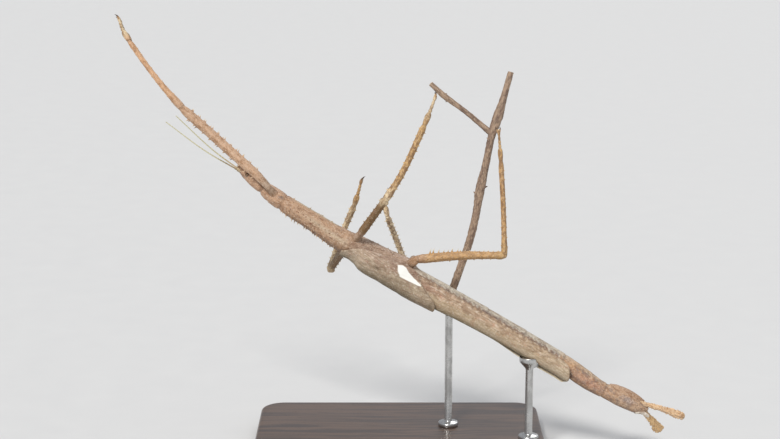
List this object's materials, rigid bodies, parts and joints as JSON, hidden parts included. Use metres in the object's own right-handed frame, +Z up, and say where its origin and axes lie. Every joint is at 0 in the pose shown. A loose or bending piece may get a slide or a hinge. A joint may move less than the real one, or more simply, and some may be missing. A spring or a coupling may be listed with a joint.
{
  "type": "stick insect display model",
  "caption": "Life-size stick insect with folded wings, hanging under a forked twig on a flat base with upright rods.",
  "frame": {"origin": "centre of the flat underside of the display base", "axes": "+Z up; +X from the feelers towards the tail; +Y away from the side the insect shows, which is its right"},
  "size_m": [0.2329, 0.084, 0.1807],
  "materials": {
    "body": "matt, pinkish beige with mottling, stands for a dry insect skin",
    "leg": "matt, orange-tan, stands for a dry insect skin",
    "wing": "matt, grey-brown with fine veins, stands for folded wing membrane",
    "eye": "glossy, brown",
    "feeler": "matt, straw",
    "bark": "rough grey-brown bark",
    "stand": "dark satin lacquer",
    "steel": "brushed"
  },
  "bodies": {
    "root": {"head": "body", "mouthparts": "body", "prothorax": "body", "mesothorax": "body", "metathorax": "body", "abdomen_1": "body", "abdomen_2": "body", "abdomen_3": "body", "abdomen_4": "body", "abdomen_5": "body", "abdomen_tip": "body", "tail_plate": "body", "eye_right": "eye", "eye_left": "eye", "feeler_right": "feeler", "feeler_left": "feeler", "coxa_fore_right": "leg", "femur_fore_right": "leg", "tibia_fore_right": "leg", "tarsus_fore_right": "leg", "coxa_fore_left": "leg", "femur_fore_left": "leg", "tibia_fore_left": "leg", "tarsus_fore_left": "leg", "coxa_middle_right": "leg", "femur_middle_right": "leg", "tibia_middle_right": "leg", "tarsus_middle_right": "leg", "coxa_middle_left": "leg", "femur_middle_left": "leg", "tibia_middle_left": "leg", "tarsus_middle_left": "leg", "coxa_hind_right": "leg", "femur_hind_right": "leg", "tibia_hind_right": "leg", "tarsus_hind_right": "leg", "coxa_hind_left": "leg", "femur_hind_left": "leg", "tibia_hind_left": "leg", "tarsus_hind_left": "leg", "tail_paddle_right": "leg", "tail_paddle_left": "leg", "hind_wing_right": "wing", "hind_wing_left": "wing", "forewing_right": "wing", "forewing_left": "wing", "perch_stem": "bark", "perch_branch": "bark", "stand_base": "stand", "stand_rod_twig": "steel", "stand_rod_body": "steel"}
  },
  "joints": []
}
